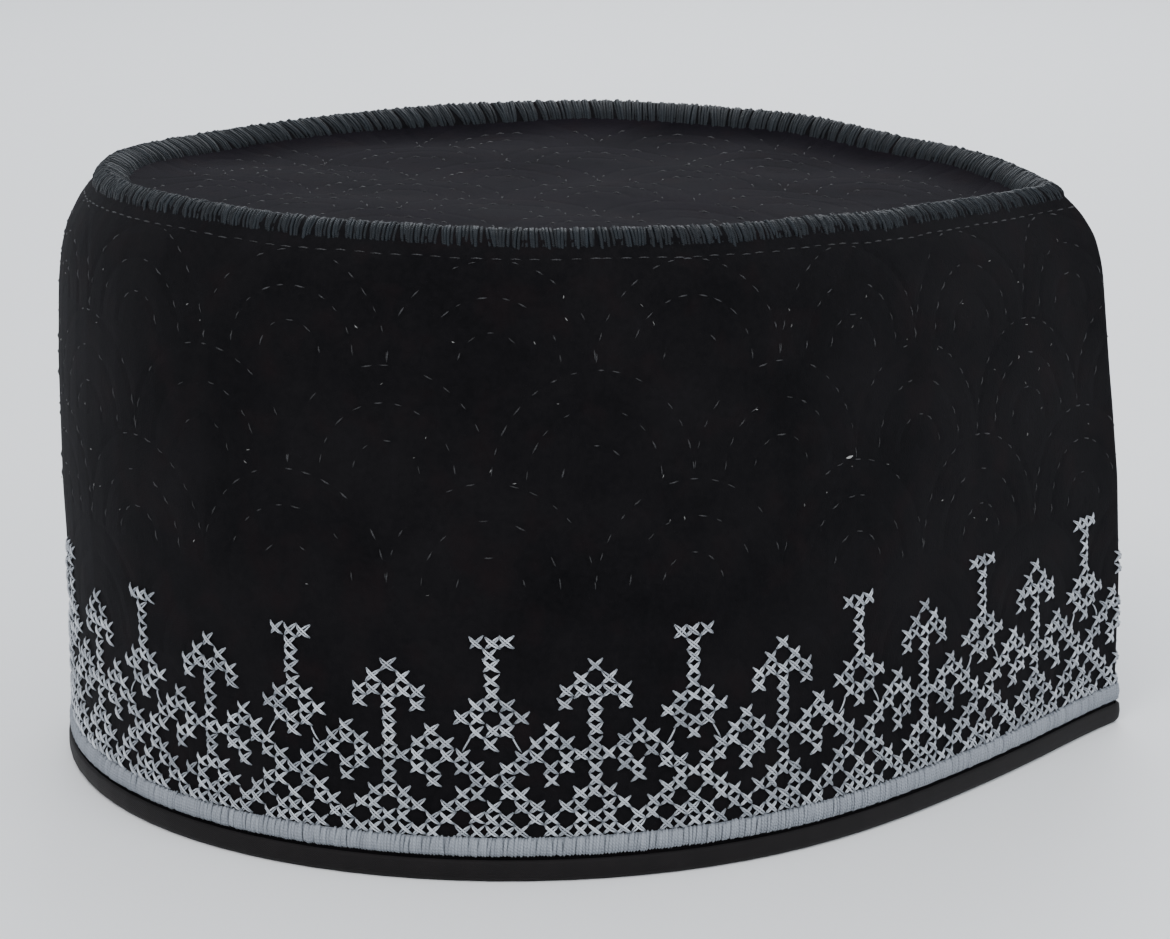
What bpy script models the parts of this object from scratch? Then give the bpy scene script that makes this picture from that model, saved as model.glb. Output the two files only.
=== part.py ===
"""Soft oval skullcap with a dished crown: felt side wall, crown panel, overcast seam,
thread hem band and rolled rim binding.

The cap rests on its rim at z = 0. +X is the long axis of the head, towards the creased
end, and -Y is the side that is seen. Every piece is swept round one soft oval plan.
Run it with: blender --background --python part.py
"""
import math

import bpy

# Driving sizes, in metres
rim_length = 0.2015         # felt wall at the rim, end to end
rim_width = 0.1654          # felt wall at the rim, across
wall_height = 0.1122        # floor to the highest line of the felt wall
wall_thickness = 0.0026
wall_lean = 0.0028          # how far the wall comes in before it turns over
turn_width = 0.0120         # the wall turns over into the crown with this width
turn_height = 0.0157
top_drift_x = -0.0026       # the soft top has slid this far from over the rim
top_drift_y = -0.0010
binding_height = 0.0045
binding_thickness = 0.0009
hem_height = 0.0030
hem_thickness = 0.0007
seam_overlap = 0.0038       # width of the overcast stitches on each side of the joint
seam_thickness = 0.0008
crown_thickness = 0.0018
crown_dish = 0.0045         # depth of the crown below its edge
dish_run = 0.0110           # width of the slope round the dish
allowance_width = 0.0032    # turned-in edge of the wall, under the crown
allowance_thickness = 0.0010
top_lift = 0.0030           # the most that the soft top edge sinks or rises
soft_dent = 0.0012          # deepest dent of the wall
clearance = 0.0003          # gap between pieces that touch

turn_share = math.radians(70.0)     # part of the quarter turn that the wall makes
around = 88                 # facets round the cap

# The rim's plan: its reach from the middle, as shares that rim_length and rim_width
# stretch. The waves turn with the angle from the front (-Y) towards +X, and the crease
# is a soft corner where the cap is folded when it is put away.
plan_reach = 0.96
plan_waves = (
    {"times": 1, "fore": -0.030, "aside": -0.067},
    {"times": 2, "fore": 0.017, "aside": -0.057},
    {"times": 3, "fore": 0.033, "aside": -0.012},
)
crease_reach = 0.097
crease_angle = math.radians(94.0)
crease_front_spread = math.radians(9.0)
crease_back_spread = math.radians(15.0)

# Height of the top edge round the cap, as a share of top_lift, with the angle in
# degrees from the front towards +X
lift_rows = (
    {"angle": -160, "lift": 0.10},
    {"angle": -120, "lift": 0.10},
    {"angle": -90, "lift": 0.55},
    {"angle": -60, "lift": 0.62},
    {"angle": -30, "lift": 0.35},
    {"angle": 0, "lift": 0.00},
    {"angle": 30, "lift": -0.45},
    {"angle": 60, "lift": -1.10},
    {"angle": 95, "lift": -1.50},
    {"angle": 125, "lift": -1.05},
    {"angle": 150, "lift": -0.20},
    {"angle": 178, "lift": 0.20},
)

# Soft dents and swells of the wall: place round and up, spread in degrees and as a share
# of the wall height, and depth as a share of soft_dent
dent_rows = (
    {"angle": -88, "up": 0.20, "spread": 30, "tall": 0.16, "depth": 0.85},
    {"angle": -35, "up": 0.62, "spread": 22, "tall": 0.20, "depth": -0.50},
    {"angle": 12, "up": 0.45, "spread": 20, "tall": 0.22, "depth": 0.60},
    {"angle": 58, "up": 0.66, "spread": 18, "tall": 0.20, "depth": -0.45},
    {"angle": 92, "up": 0.52, "spread": 22, "tall": 0.38, "depth": -1.10},
    {"angle": 165, "up": 0.72, "spread": 24, "tall": 0.22, "depth": 1.00},
    {"angle": 235, "up": 0.48, "spread": 26, "tall": 0.24, "depth": 0.70},
)

hem_foot = binding_height + clearance
hem_top = hem_foot + hem_height
turn_foot = wall_height - turn_height       # height where the wall starts to turn over
crown_edge_inset = wall_lean + turn_width * (1 - math.cos(turn_share)) + clearance
crown_edge_z = turn_foot + turn_height * math.sin(turn_share)


def smooth(share):
    """Ease from 0 to 1."""
    share = min(max(share, 0.0), 1.0)
    return share * share * (3 - 2 * share)


def plan_shape(turn):
    """Point of the plan's shape before it is stretched to the rim's length and width."""
    reach = plan_reach
    for wave in plan_waves:
        reach += wave["fore"] * math.cos(wave["times"] * turn)
        reach += wave["aside"] * math.sin(wave["times"] * turn)
    past = (turn - crease_angle + math.pi) % (2 * math.pi) - math.pi
    spread = crease_back_spread if past > 0 else crease_front_spread
    reach += crease_reach * math.exp(-abs(past) / spread)
    return reach * math.sin(turn), -reach * math.cos(turn)


def even_plan(count):
    """Points at equal steps along the rim, from the crease round to the crease."""
    fine = 2400
    shape = [plan_shape(crease_angle + 2 * math.pi * step / fine) for step in range(fine + 1)]
    left, right = min(x for x, y in shape), max(x for x, y in shape)
    near, far = min(y for x, y in shape), max(y for x, y in shape)
    rim = [((x - (left + right) / 2) * rim_length / (right - left),
            (y - (near + far) / 2) * rim_width / (far - near)) for x, y in shape]
    run = [0.0]
    for here, there in zip(rim, rim[1:]):
        run.append(run[-1] + math.dist(here, there))
    points, at = [], 0
    for step in range(count):
        goal = run[-1] * step / count
        while run[at + 1] < goal:
            at += 1
        part = (goal - run[at]) / (run[at + 1] - run[at])
        points.append(tuple(a + part * (b - a) for a, b in zip(rim[at], rim[at + 1])))
    return points


def lift_share(angle):
    """Smooth height of the top edge at an angle in degrees, from lift_rows."""
    first = lift_rows[0]["angle"]
    angle = (angle - first) % 360 + first
    rows = list(lift_rows) + [dict(lift_rows[0], angle=first + 360)]
    for here, there in zip(rows, rows[1:]):
        if angle <= there["angle"]:
            part = (angle - here["angle"]) / (there["angle"] - here["angle"])
            return here["lift"] + (there["lift"] - here["lift"]) * smooth(part)
    return rows[-1]["lift"]


def dent_depth(angle, up):
    """Inward dent of the wall at an angle and a share of its height."""
    depth = 0.0
    for row in dent_rows:
        aside = ((angle - row["angle"] + 180) % 360 - 180) / row["spread"]
        above = (up - row["up"]) / row["tall"]
        depth += row["depth"] * math.exp(-aside * aside - above * above)
    fade = max(4 * up * (1 - up), 0.0)      # the rim and the top edge keep their lines
    return soft_dent * depth * fade


plan = even_plan(around)
plan_angles = [math.degrees(math.atan2(x, -y)) for x, y in plan]
lifts = [top_lift * lift_share(angle) for angle in plan_angles]
middle_lift = sum(lifts) / around


def skin_point(index, inset, z):
    """Point at a radial inset from the rim's plan and a height, with the cap's softness."""
    x, y = plan[index]
    reach = math.hypot(x, y)
    rise = smooth(z / turn_foot)
    kept = (reach - inset - dent_depth(plan_angles[index], z / turn_foot)) / reach
    return (x * kept + top_drift_x * rise,
            y * kept + top_drift_y * rise,
            z + lifts[index] * rise)


def lean_at(z):
    """Inset of the wall's outside below the turn. The wall leans in more the higher it is."""
    share = max(z - binding_height, 0.0) / (turn_foot - binding_height)
    return wall_lean * share * share


def turn_point(angle, out=0.0):
    """Inset and height on the wall's turn at an angle, out metres off its surface."""
    return (wall_lean + turn_width - (turn_width + out) * math.cos(angle),
            turn_foot + (turn_height + out) * math.sin(angle))


def crown_drop(run):
    """How far the crown's surface lies below its edge, run metres in from the edge."""
    left = 1 - min(run / dish_run, 1.0)
    return crown_dish * (1 - left * left)


def new_piece(name, points, faces, colour, roughness):
    """One solid with its own material, parented to the cap."""
    mesh = bpy.data.meshes.new(name)
    mesh.from_pydata(points, [], faces)
    mesh.update()
    mesh.polygons.foreach_set("use_smooth", [True] * len(mesh.polygons))
    piece = bpy.data.objects.new(name, mesh)
    bpy.context.scene.collection.objects.link(piece)
    piece.parent = cap
    material = bpy.data.materials.new(name)
    material.use_nodes = True
    shader = material.node_tree.nodes["Principled BSDF"]
    shader.inputs["Base Color"].default_value = (*colour, 1.0)
    shader.inputs["Roughness"].default_value = roughness
    shader.inputs["Metallic"].default_value = 0.0
    material.diffuse_color = (*colour, 1.0)
    mesh.materials.append(material)
    return piece


def ring_piece(name, section, colour, roughness):
    """Sweep a closed section of (inset, height) corners round the plan. The section runs
    up the outside and back down the inside."""
    count = len(section)
    points = [skin_point(index, inset, z) for index in range(around) for inset, z in section]
    faces = []
    for index in range(around):
        here = index * count
        there = (index + 1) % around * count
        for corner in range(count):
            after = (corner + 1) % count
            faces.append((here + corner, there + corner, there + after, here + after))
    return new_piece(name, points, faces, colour, roughness)


def wall_section():
    """Felt wall: straight, turned over at the top, with an allowance under the crown."""
    foot = binding_thickness + clearance + clearance
    outside = [(0.0, foot), (0.0, binding_height), (lean_at(hem_top), hem_top)]
    for share in (0.25, 0.5, 0.75, 1.0):
        z = hem_top + (turn_foot - hem_top) * share
        outside.append((lean_at(z), z))
    outside += [turn_point(turn_share * share) for share in (0.27, 0.53, 0.78, 1.0)]
    shelf = []
    for run in (-clearance / 2, allowance_width):
        z = crown_edge_z - crown_drop(max(run, 0.0)) - crown_thickness - clearance
        shelf.append((crown_edge_inset + run, z))
    inside = [(inset, z - allowance_thickness) for inset, z in reversed(shelf)]
    inside += [turn_point(turn_share * share, -wall_thickness) for share in (0.55, 0.25, 0.0)]
    for share in (0.66, 0.33, 0.0):
        z = hem_top + (turn_foot - hem_top) * share
        inside.append((lean_at(z) + wall_thickness, z))
    inside.append((wall_thickness, foot))
    return outside + shelf + inside


def binding_section():
    """Cloth strip folded round the foot of the wall, flat underneath."""
    outer = -clearance - binding_thickness
    inner = wall_thickness + clearance + binding_thickness
    fold = binding_thickness * 0.9
    return [
        (outer + fold, 0.0),
        (outer + 0.2 * fold, fold),
        (outer, 0.50 * binding_height),
        (outer + 0.2 * fold, 0.84 * binding_height),
        (outer + 0.8 * fold, binding_height),
        (-clearance, binding_height - clearance),
        (-clearance, binding_thickness + clearance),
        (wall_thickness + clearance, binding_thickness + clearance),
        (wall_thickness + clearance, binding_height - clearance),
        (inner - 0.4 * fold, binding_height),
        (inner, 0.50 * binding_height),
        (inner - fold, 0.0),
    ]


def hem_section():
    """Band of satin stitches on the outside of the wall."""
    back = -clearance
    front = -clearance - hem_thickness
    return [
        (lean_at(hem_foot) + back, hem_foot),
        (lean_at(hem_foot) + front * 0.75, hem_foot),
        (lean_at(hem_foot) + front, hem_foot + 0.3 * hem_height),
        (lean_at(hem_top) + front, hem_foot + 0.7 * hem_height),
        (lean_at(hem_top) + front * 0.75, hem_top),
        (lean_at(hem_top) + back, hem_top),
    ]


def seam_section():
    """Flat overcast stitches over the joint of wall and crown."""
    spread = seam_overlap / turn_height
    foot = turn_share - spread
    under = [
        turn_point(foot, clearance),
        turn_point(turn_share, clearance),
        (crown_edge_inset + 0.5 * seam_overlap,
         crown_edge_z - crown_drop(0.5 * seam_overlap) + clearance * 1.6),
        (crown_edge_inset + seam_overlap,
         crown_edge_z - crown_drop(seam_overlap) + clearance * 1.6),
    ]
    over = [
        turn_point(foot + 0.08 * spread, clearance + 0.55 * seam_thickness),
        turn_point(foot + 0.50 * spread, clearance + 0.95 * seam_thickness),
        turn_point(turn_share, clearance + seam_thickness),
        (crown_edge_inset + 0.55 * seam_overlap,
         crown_edge_z - crown_drop(0.55 * seam_overlap) + clearance + seam_thickness),
        (crown_edge_inset + seam_overlap,
         crown_edge_z - crown_drop(seam_overlap) + clearance + 0.6 * seam_thickness),
    ]
    return over + under[::-1]


def crown_piece(name, colour, roughness):
    """Dished panel that lies on the wall's allowance, with its edge against the turn."""
    runs = (0.0, 0.16, 0.36, 0.62, 1.0)
    shares = (0.68, 0.34)
    rings = []
    for index in range(around):
        x, y = plan[index]
        reach = math.hypot(x, y)
        edge = reach - crown_edge_inset
        spots = [(edge - dish_run * run, crown_drop(dish_run * run)) for run in runs]
        spots += [((edge - dish_run) * share, crown_dish) for share in shares]
        rings.append([])
        for out, drop in spots:
            kept = out / reach
            settle = smooth(out / edge)
            lift = middle_lift + (lifts[index] - middle_lift) * settle
            rings[-1].append((x * kept + top_drift_x, y * kept + top_drift_y,
                              crown_edge_z - drop + lift))
    count = len(runs) + len(shares)
    points = []
    for ring in rings:
        points += ring
        points += [(x, y, z - crown_thickness) for x, y, z in ring]
    hub_z = crown_edge_z - crown_dish + middle_lift
    hub = len(points)
    points.append((top_drift_x, top_drift_y, hub_z))
    points.append((top_drift_x, top_drift_y, hub_z - crown_thickness))
    faces = []
    for index in range(around):
        here = index * count * 2
        there = (index + 1) % around * count * 2
        for spot in range(count - 1):
            faces.append((here + spot, there + spot, there + spot + 1, here + spot + 1))
            low = spot + count
            faces.append((here + low + 1, there + low + 1, there + low, here + low))
        last = count - 1
        faces.append((here + last, there + last, hub))
        faces.append((there + last + count, here + last + count, hub + 1))
        faces.append((here + count, there + count, there, here))
    return new_piece(name, points, faces, colour, roughness)


for old in list(bpy.data.objects):
    bpy.data.objects.remove(old, do_unlink=True)

cap = bpy.data.objects.new("skullcap", None)
bpy.context.scene.collection.objects.link(cap)

ring_piece("side_wall", wall_section(), (0.012, 0.011, 0.013), 0.90)
crown_piece("crown_panel", (0.020, 0.018, 0.024), 0.85)
ring_piece("crown_seam", seam_section(), (0.010, 0.010, 0.016), 0.45)
ring_piece("hem_band", hem_section(), (0.30, 0.31, 0.33), 0.55)
ring_piece("rim_binding", binding_section(), (0.010, 0.009, 0.009), 0.80)
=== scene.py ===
"""Dressed skullcap: velvet wall and crown, cross-stitched border, quilting, seam, hem and
binding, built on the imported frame, with a plain studio stage.

It is laid out as a Blender add-on. Run as a script it makes the whole scene. Lengths are
metres. "Run" is a distance along the rim from the front (-Y) towards +X, and "climb" a
distance up the outside of the cap from the floor, over the turn and in towards the crown.
"""
import math

import bmesh
import bpy
import numpy as np
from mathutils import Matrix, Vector
from mathutils.bvhtree import BVHTree


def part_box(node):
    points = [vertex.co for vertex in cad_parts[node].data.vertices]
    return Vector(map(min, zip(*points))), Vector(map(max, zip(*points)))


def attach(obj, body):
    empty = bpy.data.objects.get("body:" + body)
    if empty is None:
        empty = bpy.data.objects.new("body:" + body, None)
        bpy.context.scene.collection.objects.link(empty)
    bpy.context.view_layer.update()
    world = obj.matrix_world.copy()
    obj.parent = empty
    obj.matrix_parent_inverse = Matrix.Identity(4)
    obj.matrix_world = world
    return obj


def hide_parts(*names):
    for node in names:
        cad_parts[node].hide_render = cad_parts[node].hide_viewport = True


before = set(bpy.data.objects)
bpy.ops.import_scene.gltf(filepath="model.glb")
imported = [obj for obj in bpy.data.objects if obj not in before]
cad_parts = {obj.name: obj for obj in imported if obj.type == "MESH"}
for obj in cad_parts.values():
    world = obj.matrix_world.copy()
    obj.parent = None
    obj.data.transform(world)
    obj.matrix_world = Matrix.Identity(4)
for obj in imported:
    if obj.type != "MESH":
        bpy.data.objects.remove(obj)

bl_info = {
    "name": "Skullcap dressing",
    "version": (1, 0, 0),
    "blender": (4, 5, 0),
    "location": "View3D > Sidebar > Skullcap",
    "description": "Dresses the packed skullcap with cloth, thread and a studio stage",
    "category": "Object",
}

MM = 0.001

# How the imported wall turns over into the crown, seen from the middle of that turn
TURN_WIDTH = 12.0 * MM
TURN_HEIGHT = 15.7 * MM
TURN_REACH = 13.4 * MM                  # mean distance of the turned cloth from its middle
TURN_FAR = 30 * MM                      # rays towards that middle start this far from it
TURN_LAST = math.radians(74)            # the turned cloth ends here, under the seam
SEAM_FIRST = math.radians(55)           # the overcast stitches lie between here
SEAM_LAST = math.radians(112)           # and here
WALL_FOOT = 1.7 * MM                    # lowest edge of the wall, inside the binding
SURE_HEIGHT = 90 * MM                   # here level rays meet the wall all the way round
SEAM_INWARD = 0.65 * TURN_WIDTH         # and the top of the seam is this far in from there
RIM_ROW = 2                             # the row of the wall's grid along which runs count

FAR = 0.2                               # length of the rays, which start outside the cap
UP = np.array([0.0, 0.0, 1.0])

# The camera, worked out from the rim line and the tips of the border in the photo
CAMERA_PLACE = (-2.5 * MM, -692.0 * MM, 224.7 * MM)
CAMERA_PITCH = 0.244
CAMERA_LENS = 115.4
CAMERA_SENSOR = 36.0
PHOTO_SIZE = (1170, 939)
LINT_PIXEL = (849, 457)                 # the one white speck that stands out

CROWN_SPACING = 0.8                     # the crown's rings lie closer towards its edge
SCALE_TALL = 1.08                       # height of a scale of the quilting by its half width
SUNK_STITCHES = 0.30                    # share of quilting stitches that the nap hides
THREAD_END = 0.45                       # share of its radius that a thread has at its ends

# How far the worn cloth slumps in and down at the -X end and at the +X end, more than the
# plain solids do
SLUMP_IN = (1.8 * MM, 3.4 * MM)
SLUMP_DOWN = (2.2 * MM, 1.4 * MM)
SLUMP_HEIGHTS = (88 * MM, 113 * MM)     # it starts at the first height, whole at the second
SLUMP_COMES = (45, 92)                  # degrees from the front between which it comes
SLUMP_GOES = (118, 165)                 # and goes again

# The border: repeats round the cap, cells in a repeat, and half a repeat's rows, from the
# fork's axis to the anchor's axis
BORDER_REPEATS = 16
BORDER_CELLS = 14
FORK_RUN = -18.5 * MM                   # axis of the fork that is nearest to the front
BORDER_HALF = (
    "XX......",
    "X.......",
    "X......X",
    "X.....X.",
    "X....XXX",
    "XX...X.X",
    ".XX....X",
    "XX..X..X",
    "X..XXX.X",
    "..XX.XXX",
    ".XX.XX.X",
    "XX..X..X",
    ".XX...XX",
    "X.XX.XX.",
    "XX.XX.XX",
    "XXX.XXXX",
)


def tree_of(*nodes):
    """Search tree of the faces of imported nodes."""
    points, faces = [], []
    for node in nodes:
        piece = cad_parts[node]
        start = len(points)
        points += [piece.matrix_world @ vertex.co for vertex in piece.data.vertices]
        faces += [[start + index for index in face.vertices] for face in piece.data.polygons]
    return BVHTree.FromPolygons(points, faces)


def outward(turn):
    """Level direction away from the axis at an angle from the front."""
    return np.stack([np.sin(turn), -np.cos(turn), np.zeros_like(turn)], -1)


def polar(turn, reach, height):
    """Places at an angle from the front, a distance from the axis and a height."""
    return outward(turn) * reach[..., None] + UP * np.reshape(height, (-1, 1))


def unit(vectors):
    """Vectors at length 1."""
    return vectors / np.maximum(np.linalg.norm(vectors, axis=-1, keepdims=True), 1e-12)


def blend_rows(grid, turn, row):
    """Value of a (rows, turns) grid between its samples; the turns close on themselves."""
    rows, columns = grid.shape
    column = (turn + math.pi) / (2 * math.pi) * columns
    left = np.floor(column).astype(int)
    part = column - left
    left, right = left % columns, (left + 1) % columns
    row = np.clip(row, 0, rows - 1)
    low = np.minimum(np.floor(row).astype(int), rows - 2)
    up = row - low
    below = grid[low, left] * (1 - part) + grid[low, right] * part
    above = grid[low + 1, left] * (1 - part) + grid[low + 1, right] * part
    return below * (1 - up) + above * up


def blend_ring(ring, turn):
    """Value of a closed ring of samples between them."""
    return blend_rows(np.stack([ring, ring]), turn, np.zeros_like(turn))


def fill_gaps(grid):
    """Rays that met nothing take the value of the row before."""
    for row in range(1, len(grid)):
        grid[row] = np.where(np.isnan(grid[row]), grid[row - 1], grid[row])
    return grid


def with_mean(values):
    """Values whose gaps take the mean of the others."""
    return np.where(np.isnan(values), np.nanmean(values), values)


def level_uv(along, levels):
    """UV of rows that lie at even levels."""
    return [np.stack([along, np.full_like(along, level)], -1) for level in levels]


def reach_of(tree, origins, towards, far):
    """Distance from each ray's far end back to where it meets the tree."""
    found = np.full(len(origins), np.nan)
    for index, (origin, way) in enumerate(zip(origins, towards)):
        hit = tree.ray_cast(Vector(origin), Vector(way), far)
        if hit[3] is not None:
            found[index] = far - hit[3]
    return found


class Skin:
    """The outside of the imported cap, read by rays, as a smooth function."""

    columns = 1440
    wall_rows = 40
    turn_rows = 12
    seam_rows = 40

    def __init__(self):
        wall, seam = tree_of("side_wall"), tree_of("crown_seam")
        whole = tree_of("side_wall", "crown_seam", "crown_panel")
        self.crown = tree_of("crown_panel")
        turns = np.linspace(-math.pi, math.pi, self.columns + 1)
        out = outward(turns[:-1])

        def level(heights):
            return reach_of(wall, out * FAR + UP * np.reshape(heights, (-1, 1)), -out, FAR)

        high = level(np.full(self.columns, SURE_HEIGHT)) - SEAM_INWARD
        above = out * high[:, None] + UP * FAR
        seam_top = with_mean(reach_of(seam, above, np.broadcast_to(-UP, out.shape), FAR))
        self.foot = seam_top - TURN_HEIGHT
        shares = np.linspace(0, 1, self.wall_rows)
        self.reach = fill_gaps(np.stack([
            level(WALL_FOOT + share * (self.foot - WALL_FOOT)) for share in shares]))
        middle = self.reach[-1] - TURN_WIDTH
        centre = out * middle[:, None] + UP * self.foot[:, None]

        def turned(tree, first, last, rows):
            grid = []
            for angle in np.linspace(first, last, rows):
                way = out * math.cos(angle) + UP * math.sin(angle)
                grid.append(reach_of(tree, centre + way * TURN_FAR, -way, TURN_FAR))
            return fill_gaps(np.stack(grid))

        self.turned = turned(wall, 0.0, TURN_LAST, self.turn_rows)
        self.seamed = turned(whole, SEAM_FIRST, SEAM_LAST, self.seam_rows)
        rim = out * self.reach[RIM_ROW][:, None]
        steps = np.linalg.norm(np.diff(np.vstack([rim, rim[:1]]), axis=0), axis=1)
        self.runs = np.concatenate([[0.0], np.cumsum(steps)])
        self.length = self.runs[-1]
        self.front = self.runs[self.columns // 2]
        self.ring_turns = turns

    def turn_at(self, run):
        """Angle from the front of a distance along the rim."""
        return np.interp((run + self.front) % self.length, self.runs, self.ring_turns)

    def foot_at(self, turn):
        """Height where the wall starts to turn over."""
        return blend_ring(self.foot, turn)

    def top_reach(self, turn):
        """Distance of the wall from the axis where it starts to turn over."""
        return blend_ring(self.reach[-1], turn)

    def point(self, run, climb):
        """Places on the outside of the wall and its turn."""
        turn = self.turn_at(run)
        foot = self.foot_at(turn)
        share = np.clip((climb - WALL_FOOT) / (foot - WALL_FOOT), 0, 1)
        reach = blend_rows(self.reach, turn, share * (self.wall_rows - 1))
        height = WALL_FOOT + share * (foot - WALL_FOOT)
        angle = np.clip((climb - foot) / TURN_REACH, 0, TURN_LAST)
        away = blend_rows(self.turned, turn, angle / TURN_LAST * (self.turn_rows - 1))
        middle = self.top_reach(turn) - TURN_WIDTH
        over = climb > foot
        return polar(turn, np.where(over, middle + away * np.cos(angle), reach),
                     np.where(over, foot + away * np.sin(angle), height))

    def quilt_point(self, run, rise):
        """Places on the wall at a climb above the foot of its turn, or below it."""
        return self.point(run, rise + self.foot_at(self.turn_at(run)))

    def seam_point(self, run, angle, lift=0.0):
        """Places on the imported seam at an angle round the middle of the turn."""
        turn = self.turn_at(run)
        row = (angle - SEAM_FIRST) / (SEAM_LAST - SEAM_FIRST) * (self.seam_rows - 1)
        away = blend_rows(self.seamed, turn, row) + lift
        return polar(turn, self.top_reach(turn) - TURN_WIDTH + away * np.cos(angle),
                     self.foot_at(turn) + away * np.sin(angle))

    def crown_place(self, x, y):
        """Height of the velvet crown at places in plan, and how far its edge is from them."""
        turn = np.arctan2(x, -y)
        away = np.hypot(x, y)
        edge = blend_ring(self.crown_edge, turn)
        rings = len(self.crown_heights) - 1
        row = rings * (away / edge) ** (1 / CROWN_SPACING)
        return blend_rows(self.crown_heights, turn, row), edge - away

    def sides(self, place, first, second, step=0.4 * MM):
        """Unit ways along the first and second argument of a place function, and outwards."""
        along = unit(place(first + step, second) - place(first - step, second))
        upward = unit(place(first, second + step) - place(first, second - step))
        return along, upward, unit(np.cross(along, upward))


skin = Skin()
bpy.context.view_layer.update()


def smooth_step(value, low, high):
    """0 below low, 1 above high, and smooth in between."""
    share = np.clip((value - low) / (high - low), 0, 1)
    return share * share * (3 - 2 * share)


def slumped(points):
    """Points of the cap with the shoulders at its two ends sunk in and down."""
    x, y, z = points.T
    turn = np.arctan2(x, -y)
    away = np.hypot(x, y)
    edge = skin.top_reach(turn)
    aside = np.degrees(np.abs(turn))
    share = (smooth_step(aside, *SLUMP_COMES) * (1 - smooth_step(aside, *SLUMP_GOES))
             * smooth_step(z, *SLUMP_HEIGHTS) * np.clip(away / edge, 0, 1) ** 3)
    inward, down = (np.where(x < 0, *ends) * share for ends in (SLUMP_IN, SLUMP_DOWN))
    moved = -outward(turn) * inward[:, None]
    moved[:, 2] -= down
    return points + moved


def mesh_of(name, bm):
    """A mesh made from a bmesh, which is used up."""
    mesh = bpy.data.meshes.new(name)
    bm.to_mesh(mesh)
    bm.free()
    return mesh


def smooth_piece(name, mesh, material):
    """A smooth object at the origin with its own material."""
    mesh.polygons.foreach_set("use_smooth", [True] * len(mesh.polygons))
    mesh.materials.clear()
    mesh.materials.append(material)
    mesh.update()
    piece = bpy.data.objects.new(name, mesh)
    bpy.context.scene.collection.objects.link(piece)
    return piece


def set_corner_uv(mesh, values, wraps=False):
    """Give each corner the UV of its vertex. Where v wraps, faces that close a ring have the
    v of their first side go on past 1."""
    corners = np.empty(len(mesh.loops), dtype=np.int32)
    mesh.loops.foreach_get("vertex_index", corners)
    found = np.asarray(values, dtype=np.float32).reshape(-1, 2)[corners]
    if wraps:
        starts = np.empty(len(mesh.polygons), dtype=np.int32)
        mesh.polygons.foreach_get("loop_start", starts)
        highest = np.maximum.reduceat(found[:, 1], starts)
        highest = np.repeat(highest, np.diff(np.append(starts, len(corners))))
        found[:, 1] += highest - found[:, 1] > 0.5
    mesh.uv_layers.new(name="UVMap").data.foreach_set("uv", found.ravel())


def set_tone(mesh, values):
    """Give each vertex a number that the material reads."""
    attribute = mesh.attributes.new("tone", "FLOAT", "POINT")
    attribute.data.foreach_set("value", np.asarray(values, dtype=np.float32))


def sheet_piece(name, rows, uv, material, lining=None, lined_from=0, tone=None):
    """A grid laid on rows of places on the cap, with a UV for each place. Each row goes round
    and ends where it starts, and places that meet are sewn. Faces from the row lined_from on
    are of the material lining."""
    rows = np.array(rows)
    rows[:, -1] = rows[:, 0]
    count, columns = rows.shape[:2]
    bm = bmesh.new()
    bmesh.ops.create_grid(bm, x_segments=columns - 1, y_segments=count - 1, size=1.0)
    mesh = mesh_of(name, bm)
    places = slumped(rows.reshape(-1, 3)).astype(np.float32)
    mesh.vertices.foreach_set("co", places.ravel())
    set_corner_uv(mesh, uv)
    if tone is not None:
        set_tone(mesh, np.full(len(places), tone))
    if lining:
        lined = np.arange(len(mesh.polygons)) >= lined_from * (columns - 1)
        mesh.polygons.foreach_set("material_index", lined.astype(np.int32))
    bm = bmesh.new()
    bm.from_mesh(mesh)
    bmesh.ops.remove_doubles(bm, verts=bm.verts, dist=1e-6)
    bm.to_mesh(mesh)
    bm.free()
    piece = smooth_piece(name, mesh, material)
    if lining:
        mesh.materials.append(lining)
    return piece


def loose_tubes(name, count, length, sides):
    """Mesh of many copies of one tube, and the ring and the side of each of its vertices."""
    bm = bmesh.new()
    bmesh.ops.create_cone(bm, cap_ends=True, segments=sides, radius1=1.0, radius2=1.0,
                          depth=length - 1)
    for ring in range(1, length - 1):
        bmesh.ops.bisect_plane(bm, geom=bm.verts[:] + bm.edges[:] + bm.faces[:],
                               plane_co=(0, 0, ring - (length - 1) / 2), plane_no=(0, 0, 1))
    places = np.array([vertex.co for vertex in bm.verts])
    ring = np.round(places[:, 2] + (length - 1) / 2).astype(int)
    angle = np.arctan2(places[:, 1], places[:, 0]) / (2 * math.pi) - 0.25
    pattern = bpy.data.objects.new(name, mesh_of(name, bm))
    bpy.context.scene.collection.objects.link(pattern)
    copies = pattern.modifiers.new("copies", "ARRAY")
    copies.use_relative_offset = copies.use_constant_offset = False
    copies.count = count
    evaluated = pattern.evaluated_get(bpy.context.evaluated_depsgraph_get())
    mesh = bpy.data.meshes.new_from_object(evaluated)
    bpy.data.meshes.remove(pattern.data)
    if len(mesh.vertices) != count * length * sides:
        raise RuntimeError(f"{name}: the tubes came out with other vertices")
    return mesh, ring, np.round(angle * sides).astype(int) % sides


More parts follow.
